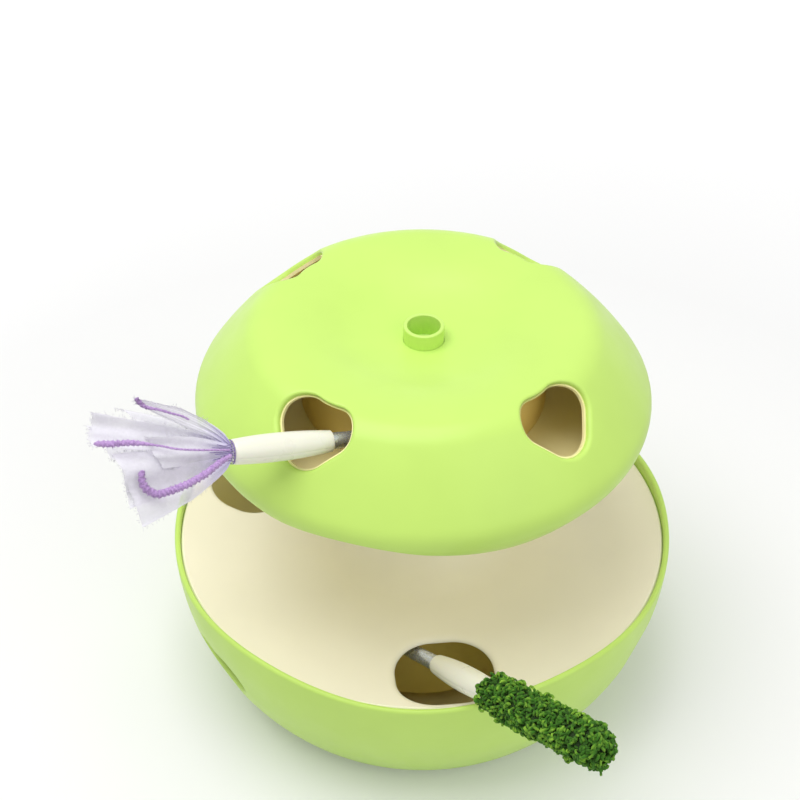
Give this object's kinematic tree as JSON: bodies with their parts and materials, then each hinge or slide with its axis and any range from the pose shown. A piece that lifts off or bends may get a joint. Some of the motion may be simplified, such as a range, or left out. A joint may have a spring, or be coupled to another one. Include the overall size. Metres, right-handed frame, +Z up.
{
  "type": "automatic cat teaser",
  "caption": "Motorised cat toy shaped like an eaten apple: two hollow halves on a core, each pushing a soft-tipped wand out of its holes.",
  "frame": {"origin": "middle of the underside of the silicone pad, on the surface that the toy stands on", "axes": "+Z up through the stem socket; -Y is the front, where the lower wand comes out; +X is to the right seen from the front"},
  "size_m": [0.2266, 0.2768, 0.2004],
  "materials": {
    "lime_shell": "smooth satin moulding",
    "cream_shell": "smooth satin moulding",
    "base_plastic": "fine matt moulding",
    "turret_plastic": "fine matt moulding",
    "silicone": "matt, slightly tacky",
    "screw_steel": "plated",
    "spindle_steel": "drawn tube",
    "wand_steel": "dull drawn tube with fine scratches along it",
    "battery_wrap": "shrink wrap",
    "circuit_board": "solder mask",
    "chip_black": "moulded",
    "port_steel": "stamped",
    "button_plastic": "smooth satin moulding",
    "gearbox_plastic": "moulded",
    "motor_can": "drawn can",
    "gear_plastic": "acetal",
    "stick_ivory": "smooth, with a faint parting line",
    "green_chenille": "dense cut loops",
    "white_chiffon": "sheer, with frayed edges",
    "lilac_cord": "twisted cord"
  },
  "bodies": {
    "base": {"bowl": "lime_shell", "base_cover": "base_plastic", "anti_slip_pad": "silicone", "base_screws": "screw_steel", "centre_spindle": "spindle_steel", "battery": "battery_wrap", "main_board": "circuit_board", "control_chip": "chip_black", "switch_board": "circuit_board", "tactile_switch": "chip_black", "port_board": "circuit_board", "charging_port": "port_steel", "flesh_plate": "cream_shell", "upper_floor": "cream_shell", "column_screws": "screw_steel", "dome_screws": "screw_steel", "core_column": "cream_shell", "motor_plate_screws": "screw_steel", "dome": "lime_shell", "dome_liner": "cream_shell", "stem_socket": "lime_shell", "lower_motor_plate": "base_plastic", "lower_drive_gearbox": "gearbox_plastic", "lower_drive_motor": "motor_can", "upper_motor_plate": "base_plastic", "upper_drive_gearbox": "gearbox_plastic", "upper_drive_motor": "motor_can"},
    "lower_turret": {"lower_turret_drum": "turret_plastic", "lower_drum_lid": "turret_plastic", "lower_retaining_ring": "gear_plastic", "lower_push_motor": "motor_can"},
    "lower_drive": {"lower_drive_pinion": "gear_plastic"},
    "lower_wand": {"lower_wand_tube": "wand_steel", "lower_wand_rack": "gear_plastic", "lower_wand_stick": "stick_ivory", "plush_tip": "green_chenille"},
    "lower_push": {"lower_push_pinion": "gear_plastic"},
    "upper_turret": {"upper_turret_drum": "turret_plastic", "upper_drum_lid": "turret_plastic", "upper_retaining_ring": "gear_plastic", "upper_push_motor": "motor_can"},
    "upper_drive": {"upper_drive_pinion": "gear_plastic"},
    "upper_wand": {"upper_wand_tube": "wand_steel", "upper_wand_rack": "gear_plastic", "upper_wand_stick": "stick_ivory", "flower_tie": "lilac_cord", "chiffon_flower": "white_chiffon"},
    "upper_push": {"upper_push_pinion": "gear_plastic"},
    "button": {"power_button": "button_plastic"}
  },
  "joints": [
    {"name": "lower_turret_turn", "type": "hinge", "parent": "base", "child": "lower_turret", "pos_m": [0, 0, 0.036], "axis": [0, 0, 1], "range_deg": [-2, 9]},
    {"name": "lower_drive_turn", "type": "hinge", "parent": "base", "child": "lower_drive", "pos_m": [0.0096, 0, 0.0615], "axis": [0, 0, 1], "range_deg": [-6.5, 27.5]},
    {"name": "lower_wand_slide", "type": "slide", "parent": "lower_turret", "child": "lower_wand", "axis": [0.4343, -0.7492, 0.5], "range_m": [-0.014, 0]},
    {"name": "lower_push_turn", "type": "hinge", "parent": "lower_turret", "child": "lower_push", "pos_m": [-0.01356, -0.02087, 0.0302], "axis": [-0.2508, 0.4326, 0.866], "range_deg": [-162, 10]},
    {"name": "upper_turret_turn", "type": "hinge", "parent": "base", "child": "upper_turret", "pos_m": [0, 0, 0.151], "axis": [0, 0, 1], "range_deg": [-3.5, 1.5]},
    {"name": "upper_drive_turn", "type": "hinge", "parent": "base", "child": "upper_drive", "pos_m": [0.0096, 0, 0.1382], "axis": [0, 0, 1], "range_deg": [-11, 5]},
    {"name": "upper_wand_slide", "type": "slide", "parent": "upper_turret", "child": "upper_wand", "axis": [-0.8957, -0.3932, 0.2079], "range_m": [-0.027, 0]},
    {"name": "upper_push_turn", "type": "hinge", "parent": "upper_turret", "child": "upper_push", "pos_m": [0.00731, -0.02639, 0.15153], "axis": [-0.1904, -0.0836, -0.9781], "range_deg": [-308, 12]},
    {"name": "power_button_press", "type": "slide", "parent": "base", "child": "button", "axis": [-0.7443, -0.5408, 0.3918], "range_m": [0, 0.001], "stiffness_N_per_m": 400, "springref_m": -0.002}
  ],
  "couplings": [
    {"joint": "lower_drive_turn", "follows": "lower_turret_turn", "ratio": 3},
    {"joint": "upper_drive_turn", "follows": "upper_turret_turn", "ratio": 3},
    {"joint": "lower_push_turn", "follows": "lower_wand_slide", "rad_per_m": 178.57},
    {"joint": "upper_push_turn", "follows": "upper_wand_slide", "rad_per_m": 178.57}
  ]
}
